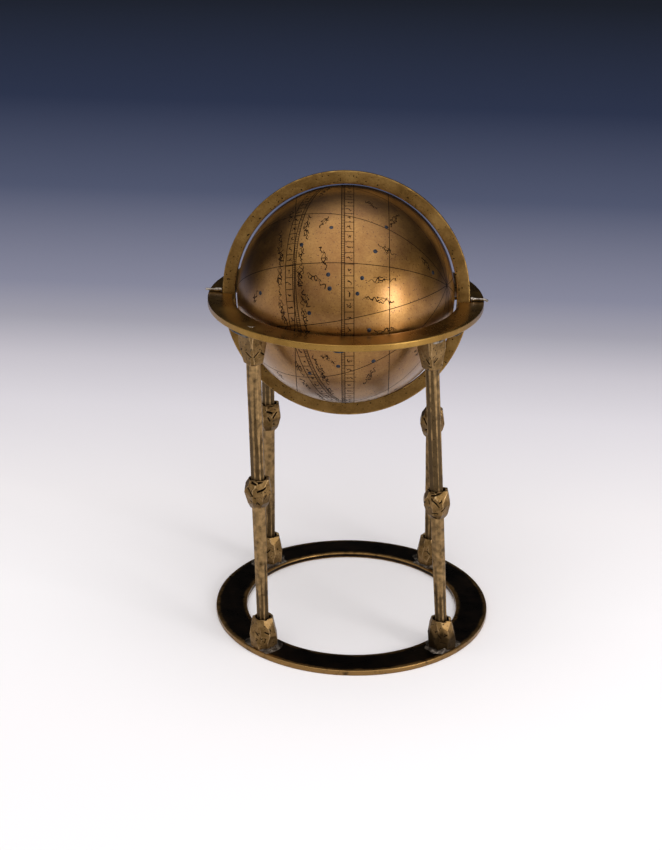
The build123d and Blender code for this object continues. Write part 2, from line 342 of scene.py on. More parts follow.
# The same brass drawn into bars, browner and darker for being less handled
shaft_brass = metal(
    "forged_dark_brass", ("#44341F", "#50402A", "#5F4C33"), "#1D140B", (0.42, 0.6),
    bump=0.7, bright="#A08258", dark="#140D06", cloud_mm=7.0, pit_mm=0.45, pit_share=0.64,
)
# Brass under a black oxide skin, rubbed through to brown metal along its edges; the bright brown on
# the ring's outer side is a painted reflection
base_patina = metal(
    "blackened_brass", ("#14100D", "#1E1814", "#2C2119"), "#0A0807", (0.24, 0.42),
    bump=0.3, bright="#8E6E42", cloud_mm=8.0, pit_mm=1.1, pit_share=0.68, scratch=0.9,
    rubbed=(0.08, 0.26),
)
# Soft tin and lead solder, smeared on hot: grey, lumpy and matt
solder_grey = metal(
    "smeared_soft_solder", ("#2E2A28", "#5C544C", "#9A9084"), "#221D1A", (0.4, 0.62),
    bump=0.9, cloud_mm=2.6, pit_mm=0.7, pit_share=0.6,
)
# Tarnished tin: the same solder gone blue-grey and dark in thin smears
tarnished_tin = metal(
    "tarnished_tin", ("#1E242C", "#333C46", "#5A646E"), "#14171B", (0.35, 0.55),
    bump=0.6, cloud_mm=1.6, pit_mm=0.5, pit_share=0.66,
)
# Drawn silver wire, rubbed bright
pin_silver = metal(
    "rubbed_silver_wire", ("#5A524A", "#877E75", "#BDB5AB"), "#2E2822", (0.24, 0.36),
    bump=0.2, cloud_mm=3.0, pit_mm=0.6, pit_share=0.7,
)
# Silver inlay, tarnished blue-black
star_silver = metal(
    "tarnished_silver_inlay", ("#1C1E22", "#2A2C32", "#3F4249"), "#121214", (0.36, 0.5),
    bump=0.25, cloud_mm=1.2, pit_mm=0.5, pit_share=0.7,
)
# Black wax and dirt lodged in the engraved lines: no shine
engraved_dark = metal(
    "blackened_engraving", ("#1A110A", "#24180E", "#302013"), "#0E0905", (0.6, 0.75),
    bump=0.2, cloud_mm=3.0, pit_mm=0.6, pit_share=0.7,
)


# Rings


def ring_section(edge, steps=4, spans=5):
    """Once round a rectangle with corners of radius edge: share of the way from the inner to the
    outer side, offset from that side, offset from the low or high face, 1 if by the high face,
    and wear, which is 1 on the corners and 0 on the flats."""
    rows = []
    for start, share, top in ((-90, 1, 0), (0, 1, 1), (90, 0, 1), (180, 0, 0)):
        angle = np.radians(np.linspace(start, start + 90, steps))
        inset = (1 if share == 0 else -1) * edge + edge * np.cos(angle)
        rise = (-1 if top else 1) * edge + edge * np.sin(angle)
        level = np.ones(steps)
        rows.append(np.stack((level * share, inset, rise, level * top, level), -1))
    path = []
    for k in range(4):
        first, last = rows[k], rows[(k + 1) % 4][0]
        share = np.linspace(0, 1, spans + 2)[1:-1, None]
        between = first[-1] * (1 - share) + last * share
        between[:, 4] = 0.0
        path += [first, between]
    return np.concatenate(path)


def ring(
    centre, x_way, y_way, normal, inner, outer, thick, turns, edge, seed, uneven, outer_side_sheen=0.0
):
    """A flat ring: at each turn the rounded rectangle of ring_section is carried round the
    centre, at radius inner to outer along cos(turn) x_way + sin(turn) y_way, and half of thick
    to each side along the normal, with a ripple of up to uneven on its rims."""
    section = ring_section(edge)[:, None, :]
    share, inset, rise, top, wear = (section[..., k] for k in range(5))
    # On the outer side's flat the mark is set to outer_side_sheen: a painted reflection of the pale
    # floor, shown as bright brown metal
    wear = np.where((np.abs(inset) < 0.01 * MM) & (share == 1), outer_side_sheen, wear)
    wobble = (0.5 + 0.35 * ripple(turns, 0, seed, top=23)) * uneven
    radius = inner * (1 - share) + outer * share + inset - wobble[None] * (2 * share - 1)
    height = -thick / 2 * (1 - top) + thick / 2 * top + rise
    out = swung(turns, x_way, y_way)
    points = centre + radius[..., None] * out + height[..., None] * normal
    nick = np.clip(ripple(turns, 0, seed + 5, top=41), 0, 1)[None]
    return skin(points, {"wear": wear * (0.55 + 0.45 * nick), "cut": 0.0}, loop=True)


globe_points = np.concatenate((corners_of("globe_half_left"), corners_of("globe_half_right")))
globe_centre = middle_of(globe_points)
globe_r = np.linalg.norm(globe_points - globe_centre, axis=1).max()

# Meridian ring: its plane and radii come from the frame node
meridian_points = corners_of("meridian_ring") - globe_centre
lean_normal = np.linalg.svd(meridian_points, full_matrices=False)[2][-1]
lean_normal = lean_normal * np.sign(lean_normal[2])
meridian_up = unit(np.cross(X, -lean_normal))
meridian_t = np.ptp(meridian_points @ lean_normal)
in_plane = meridian_points - np.outer(meridian_points @ lean_normal, lean_normal)
meridian_r = np.hypot(in_plane @ X, in_plane @ meridian_up)
meridian_out, meridian_in = meridian_r.max(), meridian_r[meridian_r > globe_r].min()
full_turn = whole_turn(480)
meridian_ring = ring(
    globe_centre, X, meridian_up, lean_normal, meridian_in, meridian_out, meridian_t, full_turn,
    0.28 * MM, 11, 0.06 * MM,
)
remade("meridian_ring", "worked", [meridian_ring], meridian_brass, "meridian")

# Horizon ring, with a slot at each side down to which its inner radius opens
horizon_points = corners_of("horizon_ring")
horizon_middle = middle_of(horizon_points)
flat = horizon_points - horizon_middle
spread = np.hypot(flat[:, 0], flat[:, 1])
horizon_in, horizon_out = spread.min(), spread.max()
slot_corners = np.abs(flat[(spread > horizon_in + 1 * MM) & (spread < horizon_out - 2 * MM)])
slot_x, slot_y = slot_corners[:, 0].max(), slot_corners[:, 1].max()
slot_mouth, slot_end = np.arcsin(slot_y / horizon_in), np.arctan2(slot_y, slot_x)
quarter = np.concatenate(
    (
        np.linspace(0, slot_end, 5), np.linspace(slot_end, slot_mouth, 3)[1:],
        np.linspace(slot_mouth, np.pi - slot_mouth, 170)[1:],
        np.linspace(np.pi - slot_mouth, np.pi - slot_end, 3)[1:],
        np.linspace(np.pi - slot_end, np.pi, 5)[1:-1],
    )
)
slot_turns = np.concatenate((quarter, quarter + np.pi))
across = np.abs(np.sin(slot_turns))
in_slot = across < np.sin(slot_mouth) - 1e-9
inner_edge = np.where(
    across <= np.sin(slot_end) + 1e-9, slot_x / np.abs(np.cos(slot_turns)),
    np.where(in_slot, slot_y / np.maximum(across, 1e-6), horizon_in),
)
horizon_h = np.ptp(horizon_points[:, 2])
# outer_side_sheen 0.85: painted reflection on the horizon ring's outer side
horizon_ring = ring(
    horizon_middle, X, Y, Z, inner_edge[None], horizon_out, horizon_h, slot_turns, 0.3 * MM, 23,
    0.05 * MM, 0.85,
)
remade("horizon_ring", "worked", [horizon_ring], horizon_brass, "stand")

# Base ring
base_points = corners_of("base_ring")
base_middle = middle_of(base_points)
base_spread = np.hypot(*(base_points - base_middle)[:, :2].T)
base_in, base_out = base_spread.min(), base_spread.max()
base_top = base_points[:, 2].max()
base_h = np.ptp(base_points[:, 2])
# outer_side_sheen 0.95: painted reflection on the base ring's outer side, brown on the black skin
base_ring = ring(
    base_middle, X, Y, Z, base_in, base_out, base_h, full_turn, 0.4 * MM, 37, 0.06 * MM, 0.95
)
remade("base_ring", "worked", [base_ring], base_patina, "stand")


# Legs


def flats_radius(turn, height, cuts):
    """The radius of a hand-cut solid at each turn and height round its axis. Each cut is a flat
    facing (facing, tilt) at a distance d: the radius to it is (d - z sin tilt) over
    (cos tilt cos(turn - facing)), and the nearest of the cuts counts."""
    facing, tilt, reach = (cuts[:, k][:, None, None] for k in range(3))
    lean = np.cos(turn[None] - facing) * np.cos(tilt)
    far = (reach - height[None] * np.sin(tilt)) / np.where(lean > 0.05, lean, 1)
    return np.where(lean > 0.05, far, 1.0).min(0)


def chisel(turn, height, across, strokes):
    """How deep the chisel cuts go at each turn and height: each stroke (facing, height, slope,
    length, depth, half width, in degrees and millimetres) is a straight groove of V section
    that runs out at its ends, measured along arc = across * (turn - facing) and the height."""
    depth = np.zeros(np.broadcast(turn, height).shape)
    for facing, middle, slope, length, deep, half in strokes:
        round_way = np.angle(np.exp(1j * (turn - np.radians(facing)))) * across
        up = height - middle * MM
        slope = np.radians(slope)
        along = round_way * np.cos(slope) + up * np.sin(slope)
        aside = up * np.cos(slope) - round_way * np.sin(slope)
        body = np.clip(1 - np.abs(aside) / (half * MM), 0, 1)
        ends = np.clip((length * MM / 2 - np.abs(along)) / (0.35 * MM), 0, 1)
        depth = np.maximum(depth, deep * MM * body * ends)
    return depth


def leg_axis(place):
    """A point on a leg's centre line and how far the line moves for each metre of height."""
    low, _ = end_of("lower_shaft_" + place, False)
    high, _ = end_of("upper_shaft_" + place, True)
    return low, (high - low) / (high[2] - low[2])


def turn_of(node):
    """The direction of a leg's piece from the middle of the stand at the piece's own height."""
    middle = middle_of(corners_of(node))
    share = (middle[2] - base_middle[2]) / (horizon_middle[2] - base_middle[2])
    away = middle - base_middle - share * (horizon_middle - base_middle)
    return np.arctan2(away[1], away[0])


def on_axis(axis, turn, radius, height):
    """Points at a turn, radius and height round a leg's leaning centre line."""
    start, slope = axis
    centre = start + slope * (height - start[2])[..., None]
    return centre + radius[..., None] * swung(turn, X, Y)


def shaft_piece(node, axis, seed):
    """An eight-sided forged bar: the nearest of eight flats at unequal distances, tapering from
    end to end, with shallow hammer marks along it."""
    (low, low_half), (high, high_half) = end_of(node, False), end_of(node, True)
    dice = np.random.default_rng(seed)
    turn = whole_turn(96)[None]
    height = np.linspace(low[2], high[2], 90)[:, None]
    turn, height = np.broadcast_arrays(turn, height)
    facing = turn_of(node) + np.arange(8) * np.pi / 4 + dice.normal(0, 0.03, 8)
    half = low_half * 1.02
    cuts = np.stack((facing, np.zeros(8), half * (1 - 0.035 * dice.random(8))), -1)
    radius = flats_radius(turn, height * 0, cuts)
    radius = radius * (1 + (high_half / low_half - 1) * (height - low[2]) / (high[2] - low[2]))
    radius = radius + ripple(turn, height * 600, seed + 1) * 0.03 * MM
    radius = np.minimum(radius, 1.06 * max(low_half, high_half))
    level = flats_radius(turn * 0 + facing[0], height * 0, cuts)
    ridge = np.clip((radius / level - 1.03) / 0.05, 0, 1)
    return skin(on_axis(axis, turn, radius, height), {"wear": ridge * 0.8, "cut": 0.0}, caps=True)


def cut_piece(node, axis, sections, chips, seed, mouth_half=0.0, scorch=0.0):
    """A chisel-cut foot, knop or capital: rows run out along the underside, up the cut side, over
    the rim and, where there is a mouth, down into it and in to the centre line.

    sections are (share of height, half width, half width at the corners), and between two of
    them stands a tier of eight flats, every second one a corner. chips are extra flats struck
    off: (facing, tilt, share of the height, share of the half width there). scorch darkens the
    lower part, as a torch does."""
    box_low, box_high = (np.array(corner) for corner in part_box(node))
    tall = box_high[2] - box_low[2]
    dice = np.random.default_rng(seed)
    turn = whole_turn(176)[None]
    rows = np.linspace(0, 1, 88)[:, None] * tall
    cuts = []
    corner = np.arange(8) % 2
    for (z0, *low_halves), (z1, *high_halves) in zip(sections[:-1], sections[1:]):
        r0, r1 = np.array(low_halves)[corner], np.array(high_halves)[corner]
        tilt = np.arctan2(r0 - r1, (z1 - z0) * tall)
        facing = turn_of(node) + np.arange(8) * 2 * np.pi / 8 + dice.normal(0, 0.05, 8)
        reach = r0 * np.cos(tilt) + z0 * tall * np.sin(tilt)
        reach = reach * (1 + dice.uniform(-0.025, 0.025, 8))
        cuts.append(np.stack((facing, tilt, reach), -1))
    levels, halves, _ = np.array(sections).T
    for facing, tilt, level, share in chips:
        tilt = np.radians(tilt)
        side = np.interp(level, levels, halves)
        reach = side * share * np.cos(tilt) + level * tall * np.sin(tilt)
        cuts.append(np.array([[np.radians(facing), tilt, reach]]))
    cuts = np.concatenate(cuts)
    chipped = np.clip(ripple(turn, 0, seed + 3, top=9), 0, 1) * 0.45 * MM
    rim = tall - chipped * (mouth_half > 0)
    height = rows * rim / tall
    grid_turn, height = np.broadcast_arrays(turn, height)
    radius = flats_radius(grid_turn, height, cuts)
    blurred = (np.roll(radius, 2, 1) + np.roll(radius, -2, 1)) / 2
    ridge = np.clip((radius - blurred) / (0.03 * MM), 0, 1) * 0.62
    deep = chisel(grid_turn, height, halves.max(), STROKES[node])
    radius = radius - deep + ripple(grid_turn, height * 700, seed + 1) * 0.05 * MM
    sooty = (0.78 - height / tall) * 4 + ripple(grid_turn, height * 500, seed + 9) * 0.7
    cut = np.maximum(np.clip(deep / (0.12 * MM), 0, 1), scorch * np.clip(sooty, 0, 1))
    lip, top = radius[-1:], height[-1:]
    under = np.linspace(0.05, 0.96, 5)[:, None] * radius[:1]
    inwards = np.array([0.9, 0.5, 0.1])[:, None]
    # Bands of rows: radius, height, wear, cut
    bands = [(under, 0.0, 0.0, 0.0), (radius, height, ridge, cut)]
    if mouth_half:
        gap = mouth_half * (1 + ripple(turn, 0, seed + 7, top=6) * 0.04)
        share = np.array([0.12, 0.5, 0.88])[:, None]
        crown = np.array([0.0, 0.02, 0.0])[:, None] * MM
        down = np.linspace(0.03, 1, 7)[:, None]
        bands += [
            (lip * (1 - share) + gap * share, top + crown, 0.8, 0.0),
            # The mouth's wall darkens quickly with depth and its floor takes the cut mark in full:
            # painted shade in the socket round the shaft
            (gap * (1 - 0.06 * down), top - down * MOUTH_DEPTH, 0.0, np.clip(down * 3, 0, 1)),
            (gap * 0.94 * inwards, top - MOUTH_DEPTH, 0.0, 1.0),
        ]
    else:
        bands.append((inwards * lip, top, 0.0, 0.0))
    radius, height, wear, cut = (
        np.concatenate([np.broadcast_to(band[k], band[0].shape) for band in bands])
        for k in range(4)
    )
    full = np.broadcast_to(turn, radius.shape)
    points = on_axis(axis, full, radius, height + box_low[2])
    return skin(points, {"wear": wear, "cut": cut}, caps=True)


# Chisel strokes of each piece: facing, height, slope, length, depth, half width
MOUTH_DEPTH = 1.4 * MM
STROKES = {
    "capital_front_left": (
        (249, 5.2, -30, 3.4, 0.45, 0.28), (296, 5.2, 40, 3.2, 0.45, 0.28),
        (194, 6.3, 40, 1.8, 0.4, 0.28), (340, 5, -38, 2.6, 0.4, 0.3),
        (150, 5.2, 40, 2.8, 0.4, 0.3), (60, 5.4, -40, 2.8, 0.4, 0.3),
    ),
    "knop_front_left": (
        (238, 10, -48, 4.3, 0.6, 0.4), (294, 10.8, 17, 4.6, 0.65, 0.45),
        (276, 5, -45, 2.1, 0.5, 0.36), (240, 5.8, -20, 1.4, 0.4, 0.3),
        (262, 7.6, -40, 1, 0.35, 0.28), (250, 13.2, -8, 3.6, 0.3, 0.5),
        (292, 13.5, 10, 3.2, 0.35, 0.4), (310, 7.8, 60, 2.4, 0.4, 0.3), (190, 9, 40, 3, 0.5, 0.36),
        (20, 9.3, -40, 3.2, 0.5, 0.36), (110, 8.8, 40, 3.2, 0.5, 0.36),
    ),
    "foot_front_left": (
        (245, 6.8, -46, 2.2, 0.45, 0.3), (293, 7.3, -28, 2.4, 0.55, 0.36),
        (268, 5, 40, 1.2, 0.3, 0.24), (312, 8.2, -62, 1.6, 0.4, 0.28),
        (283, 4.2, 76, 2.2, 0.3, 0.26), (180, 6.4, 40, 2.4, 0.45, 0.3),
        (30, 6.6, -40, 2.6, 0.45, 0.3), (110, 6.2, 40, 2.6, 0.45, 0.3),
    ),
    "capital_front_right": (
        (250, 4.6, -40, 2.6, 0.42, 0.3), (298, 5, 38, 2.8, 0.4, 0.3),
        (262, 2.6, -30, 1.4, 0.35, 0.26), (20, 5.2, -40, 2.8, 0.4, 0.3),
        (130, 5.2, 40, 2.8, 0.4, 0.3),
    ),
    "knop_front_right": (
        (258, 10.9, -40, 3.4, 0.5, 0.34), (274, 9.4, -50, 2.6, 0.5, 0.3),
        (290, 10.6, 28, 1.8, 0.45, 0.3), (250, 3.4, -20, 3.2, 0.5, 0.55),
        (262, 5.6, -5, 3, 0.4, 0.3), (272, 13.3, 9, 6.5, 0.35, 0.36),
        (300, 7.4, 50, 2.6, 0.4, 0.3), (234, 10.4, -70, 2, 0.4, 0.3), (200, 9, 40, 3, 0.5, 0.36),
        (30, 9.3, -40, 3.2, 0.5, 0.36), (120, 8.8, 40, 3.2, 0.5, 0.36),
    ),
    "foot_front_right": (
        (262, 6.6, -50, 2.6, 0.4, 0.3), (292, 7, 28, 1.6, 0.45, 0.34),
        (244, 8.4, 40, 1.4, 0.35, 0.26), (276, 4, -16, 3, 0.3, 0.26),
        (180, 6.4, 40, 2.4, 0.45, 0.3), (40, 6.6, -40, 2.6, 0.45, 0.3),
    ),
    "capital_back_right": (
        (240, 5.2, -42, 2.4, 0.4, 0.3), (268, 5.2, 42, 2.4, 0.4, 0.3),
        (50, 5.2, -40, 2.4, 0.4, 0.3), (78, 5.2, 42, 2.4, 0.4, 0.3), (150, 5, -40, 2.2, 0.4, 0.3),
    ),
    "knop_back_right": (
        (236, 9.8, -46, 4, 0.6, 0.42), (244, 6.2, 30, 3, 0.5, 0.36),
        (302, 10.2, -40, 3.4, 0.6, 0.42), (308, 7.2, 36, 2.6, 0.5, 0.36),
        (70, 9.2, -44, 3.6, 0.5, 0.36), (100, 8.8, 40, 3.2, 0.5, 0.36),
        (180, 9, -40, 3, 0.5, 0.36), (10, 9.2, 40, 3, 0.5, 0.36),
    ),
    "foot_back_right": (
        (262, 6.8, -44, 2.4, 0.45, 0.3), (80, 6.6, 40, 2.6, 0.45, 0.3), (110, 7, -34, 2, 0.4, 0.3),
        (160, 6.2, 40, 2.4, 0.45, 0.3), (20, 6.6, -40, 2.6, 0.45, 0.3),
    ),
    "capital_back_left": (
        (256, 5.2, -42, 2.4, 0.4, 0.3), (284, 5.2, 42, 2.4, 0.4, 0.3),
        (100, 5.2, -40, 2.4, 0.4, 0.3), (128, 5.2, 42, 2.4, 0.4, 0.3), (20, 5, -40, 2.2, 0.4, 0.3),
    ),
    "knop_back_left": (
        (310, 10.2, 40, 3.6, 0.6, 0.42), (279, 8.6, -60, 2.4, 0.6, 0.42),
        (282, 11.6, -16, 3.2, 0.55, 0.45), (306, 6, -36, 1.6, 0.45, 0.34),
        (90, 9.2, -44, 3.6, 0.5, 0.36), (124, 8.8, 40, 3.2, 0.5, 0.36),
        (200, 9, -40, 3, 0.5, 0.36), (20, 9, 40, 3, 0.5, 0.36),
    ),
    "foot_back_left": (
        (270, 6.8, 44, 2.4, 0.45, 0.3), (80, 6.6, 40, 2.6, 0.45, 0.3), (120, 7, -34, 2, 0.4, 0.3),
        (190, 6.2, 40, 2.4, 0.45, 0.3), (20, 6.6, -40, 2.6, 0.45, 0.3),
    ),
}

leg_axes = {place: leg_axis(place) for place in LEGS}
for number, place in enumerate(LEGS):
    dice = np.random.default_rng(70 + number)
    axis = leg_axes[place]
    for node, seed in (("lower_shaft_" + place, 100), ("upper_shaft_" + place, 120)):
        bar = shaft_piece(node, axis, seed + number)
        remade(node, "forged", [bar], shaft_brass, "stand")
    foot, knop, capital = "foot_" + place, "knop_" + place, "capital_" + place
    struck = dice.uniform(0, 360, 3)
    foot_chips = (
        (262 + dice.uniform(-6, 6), 22, 0.88, 0.97), (304 + dice.uniform(-6, 6), 24, 0.84, 0.96),
        (215, 22, 0.88, 0.97), (struck[0], 24, 0.85, 0.96), (struck[1], 22, 0.88, 0.97),
        (90, 24, 0.86, 0.96), (286, 8, 0.5, 0.985), (250, 7, 0.5, 0.985),
        (struck[2], 8, 0.5, 0.98),
    )
    knop_chips = (
        (250 + dice.uniform(-10, 10), 32, 0.85, 0.95), (292 + dice.uniform(-8, 8), 30, 0.8, 0.95),
        (272, -34, 0.3, 0.95), (228, -36, 0.28, 0.96), (318, -34, 0.3, 0.95),
        (struck[0], 30, 0.82, 0.95), (struck[1], -36, 0.3, 0.95), (90, 32, 0.8, 0.95),
        (120, -34, 0.3, 0.95), (150, 30, 0.82, 0.94), (200, 28, 0.85, 0.96), (30, -34, 0.3, 0.95),
    )
    capital_chips = [
        (turn + dice.uniform(-12, 12), -50, 0.06, share)
        for turn, share in (
            (232, 0.95), (274, 1.08), (318, 0.96), (184, 1.08), (4, 1.08), (50, 0.95), (94, 1.08),
            (140, 0.95),
        )
    ]
    for node, belly, chips, seed, scorch in (
        (foot, 0.38, foot_chips, 140, 0.85 * (place == "front_right")),
        (knop, 0.587, knop_chips, 160, 0.0),
    ):
        low, rim = end_of(node, False)[1], end_of(node, True)[1]
        wide = half_box(node) * 0.99
        sections = ((0.0, low, low), (belly, wide, wide), (1.0, rim, rim))
        shape = cut_piece(node, axis, sections, chips, seed + number, rim - 0.8 * MM, scorch)
        remade(node, "cut", [shape], leg_brass, "stand")
    out = turn_of(capital)
    low = [half_span(capital, False, out + k * np.pi / 4) for k in (0, 1)]
    top = [half_span(capital, True, out + k * np.pi / 4) for k in (0, 1)]
    sections = ((0.0, *low), (0.67, 0.99 * top[0], 0.985 * top[1]), (1.0, *top))
    shape = cut_piece(capital, axis, sections, capital_chips, 180 + number)
    remade(capital, "cut", [shape], leg_brass, "stand")


# Solder


def puddle(place, level, top, inner, outer, rise, seed, lumps, held_by, sign=1):
    """Solder round a foot or a capital: a concave fillet of height rise * (1 - t)^2.2 over the
    share t of the way from the piece to an uneven rim, with rounded lumps on it. held_by is the
    middle, inner and outer radius that its rim stays between. sign -1 hangs it under the ring."""
    start, slope = leg_axes[place]
    centre = start + slope * (level - start[2])
    ring_middle, ring_in, ring_out = held_by
    turn = whole_turn(120)[None]
    share = np.linspace(0, 1, 22)[:, None]
    rim = outer * (1 + 0.16 * ripple(turn, 0, seed, top=9))
    out = np.stack((np.cos(turn), np.sin(turn)), -1)
    for _ in range(3):
        off = np.linalg.norm(centre[:2] + out * rim[..., None] - ring_middle[:2], axis=-1)
        rim = rim - np.abs(off - np.clip(off, ring_in, ring_out)) * 1.05
        rim = np.maximum(rim, inner * 1.02)
    radius = inner + (rim - inner) * share
    height = rise * (1 - share) ** 2.2 + top * np.sqrt(np.clip(1 - share, 0, 1)) * 0.8
    uneven = 1 + 0.35 * ripple(turn, share * 6, seed + 2)
    height = height * uneven * np.clip((1 - share) * 8, 0, 1)
    for facing, away, size, tall in lumps:
        facing = np.radians(facing)
        gap = np.hypot(
            radius * np.cos(turn) - away * MM * np.cos(facing),
            radius * np.sin(turn) - away * MM * np.sin(facing),
        )
        bump = np.exp(-((gap / (size * MM)) ** 2)) * tall * MM
        uneven = 1 + 0.3 * ripple(turn, share * 14, seed + 4, top=13)
        height = height + bump * uneven * np.clip((1 - share) * 5, 0, 1)
    height = np.clip(height, 0, None)
    z = level + sign * np.concatenate((np.full((2, turn.size), -0.03 * MM), height[::-1]))
    radius = np.concatenate((radius[:1] * 0.6, radius[-1:], radius[::-1]))
    out = np.broadcast_to(out, (*radius.shape, 2))
    points = np.concatenate((centre[:2] + radius[..., None] * out, z[..., None]), -1)
    return skin(points, UNMARKED, caps=True)


# Lumps of solder round each foot: facing, distance from the middle, size and height
LUMPS = {
    "front_left": ((300, 6.3, 1.0, 0.35), (338, 6.0, 1.1, 0.5), (255, 6.2, 0.8, 0.25)),
    "front_right": (
        (282, 6.2, 1.3, 1.5), (308, 6.6, 1.2, 1.3), (262, 6.6, 0.9, 0.7), (235, 6.4, 0.8, 0.4),
    ),
    "back_right": ((200, 6.0, 1.0, 0.5), (300, 6.2, 0.9, 0.4)),
    "back_left": ((320, 6.2, 1.1, 0.6), (120, 6.0, 0.9, 0.4)),
}
foot_half, capital_half = half_box("foot_front_left"), end_of("capital_front_left", True)[1]
horizon_low = horizon_points[:, 2].min()
on_base = (base_middle, base_in + 0.9 * MM, base_out - 0.9 * MM)
on_horizon = (horizon_middle, horizon_in + 0.5 * MM, horizon_out - 0.5 * MM)
foot_span = (foot_half * 0.86, foot_half * 1.42)
capital_span = (capital_half * 0.9, capital_half * 1.2)
foot_puddles = [
    puddle(place, base_top, 0.25 * MM, *foot_span, 0.9 * MM, 210 + k, LUMPS[place], on_base)
    for k, place in enumerate(LEGS)
]
capital_puddles = [
    puddle(place, horizon_low, 0.15 * MM, *capital_span, 0.6 * MM, 230 + k, (), on_horizon, -1)
    for k, place in enumerate(LEGS)
]
for node, puddles in (("base_solder", foot_puddles), ("horizon_solder", capital_puddles)):
    remade(node, "smeared", puddles, solder_grey, "stand")


def drip(first, last, wide, deep):
    """A flattened smear of solder under the horizon ring's rim: circles of a breadth that follows
    the sine of the share along it, from one turn to another in degrees, flat on their top."""
    share = np.linspace(0.0, 1.0, 30)
    turn = np.radians(first + (last - first) * share)[:, None]
    body = (np.sin(np.pi * np.clip(share, 0.02, 0.98)) ** 0.6)[:, None]
    about = whole_turn(14)[None]
    radius = horizon_out - 0.45 * MM + np.cos(about) * wide * MM / 2 * body
    radius = np.minimum(radius, horizon_out - 0.02 * MM)
    drop = np.sin(about) * deep * MM * body
    level = horizon_low + drop * np.where(drop > 0, 0.05, 1)
    flat_way = np.stack((radius * np.cos(turn), radius * np.sin(turn)), -1)
    points = np.concatenate((horizon_middle[:2] + flat_way, level[..., None]), -1)
    return skin(points, UNMARKED, caps=True)


def scratch_line(places, radius):
    """A raised burr along a scratch: circles of six points carried along level places."""
    ahead = unit(np.gradient(places, axis=0))
    aside = np.cross(Z, ahead)
    thin_out = radius * np.sin(np.pi * np.linspace(0.04, 0.96, len(places))) ** 0.5
    rims = swung(whole_turn(6)[None], aside[:, None], Z)
    return skin(places[:, None] + thin_out[:, None, None] * rims, UNMARKED, caps=True)


# A crescent nick in the horizon ring's top, at its front left, with bare metal along its burr
nick_share, nick_turn = np.linspace(-1, 1, 24), np.radians(228.7)
nick_out = np.array((np.cos(nick_turn), np.sin(nick_turn), 0.0))
nick_middle = horizon_middle + nick_out * (horizon_in + 5.8 * MM) + Z * horizon_h / 2
nick_line = nick_middle + np.outer(nick_share * 1.9 * MM, X)
nick_line = nick_line + np.outer((nick_share**2 - 0.5) * 2.2 * MM, Y)
nick = scratch_line(nick_line, 0.13 * MM)
piece("horizon_crescent_nick", [nick], pin_silver, "stand")
piece(
    "horizon_solder_drips",
    [drip(218.5, 230.5, 1.1, 0.75), drip(268.6, 273.2, 1.2, 0.55), drip(322, 329, 1.0, 0.5)],
    tarnished_tin, "stand",
)


# Pole pins


def pin_piece(node, side):
    """A pole pin: circles of a changing radius carried along the pin's own centre line, which is
    the polar axis and then, where the frame node's tip bends, the middle of its far end."""
    points = corners_of(node) - globe_centre
    out = points[:, 0] * side
    radius = np.hypot(points[:, 1], points[:, 2])
    shank = radius[out < globe_r].max()
    far = out.max()
    rise_at = out[(radius > shank * 1.1) & (out < globe_r * 1.2)].min()
    fall_at = out[np.abs(points[:, 1]) > shank * 1.1].max()
    shoulder = np.abs(points[:, 1]).max()
    thin = np.abs(points[out > far - 0.8 * MM][:, 1]).max()
    end_z = points[out > far - 0.05 * MM][:, 2].mean()
    drop = end_z if end_z < -thin * 0.5 else 0.0
    last = np.linspace(fall_at + 0.1 * MM, far - 0.3 * MM, 26)
    worn = thin * (1 + 0.06 * np.sin(last * 5200 + side))
    s = (
        [out.min(), rise_at - 0.01 * MM, rise_at, rise_at + 0.15 * MM, fall_at - 0.25 * MM],
        [fall_at, fall_at + 0.02 * MM], last, [far - 0.12 * MM, far - 0.02 * MM],
    )
    r = (
        [shank, shank, shoulder * 0.9, shoulder, shoulder], [shoulder * 0.86, thin], worn,
        [thin * 0.8, thin * 0.35],
    )
    s, r = np.concatenate(s), np.concatenate(r)
    reach = 1.7 * MM
    bend = np.clip((s - (far - reach)) / reach, 0, 1)
    line = np.stack((s * side, np.zeros_like(s), drop * 0.86 * bend**1.35), -1)
    tangent = unit(np.gradient(line, axis=0))
    across = unit(np.cross(tangent, Y))
    rims = swung(whole_turn(40)[None], Y, across[:, None])
    points = globe_centre + line[:, None] + r[:, None, None] * rims
    return skin(points, {"wear": 0.3, "cut": 0.0}, caps=True)


for node, side in (("pole_pin_left", -1), ("pole_pin_right", 1)):
    remade(node, "drawn", [pin_piece(node, side)], pin_silver, "pole_pins")


# Globe


def globe_shell(side):
    """Half of the hollow globe: once round its section, out along the globe's radius from the
    seam to the pole's bore and back along the inside, carried round the polar axis."""
    bore, wall, close = 0.63 * MM, 1.2 * MM, 0.0003
    seam = np.array([np.pi / 2, np.pi / 2 - close])
    top, low = np.arcsin(bore / globe_r), np.arcsin(bore / (globe_r - wall))
    outer = np.linspace(np.pi / 2 - 0.01, top + 0.01, 100)
    inner = np.linspace(low + 0.01, np.pi / 2 - 0.01, 16)
    angle = np.concatenate((seam, outer, [top + close, top], [low, low + close], inner, seam[::-1]))
    radius = np.concatenate((np.full(104, globe_r), np.full(20, globe_r - wall)))
    along = (side * radius * np.cos(angle))[:, None, None] * X
    round_way = swung(whole_turn(300), -Y, Z)
    points = globe_centre + along + (radius * np.sin(angle))[:, None, None] * round_way
    return skin(points, UNMARKED, loop=True)


for node, side in (("globe_half_left", -1), ("globe_half_right", 1)):
    remade(node, "turned", [globe_shell(side)], globe_brass, "globe")


def heading(turn, height):
    """The direction at a turn round the pins' axis from the front, upwards, and a height above
    the plane midway between the pins, in degrees."""
    turn, height = np.radians(turn), np.radians(height)
    level = np.cos(height)
    return np.stack((np.sin(height), -level * np.cos(turn), level * np.sin(turn)), -1)


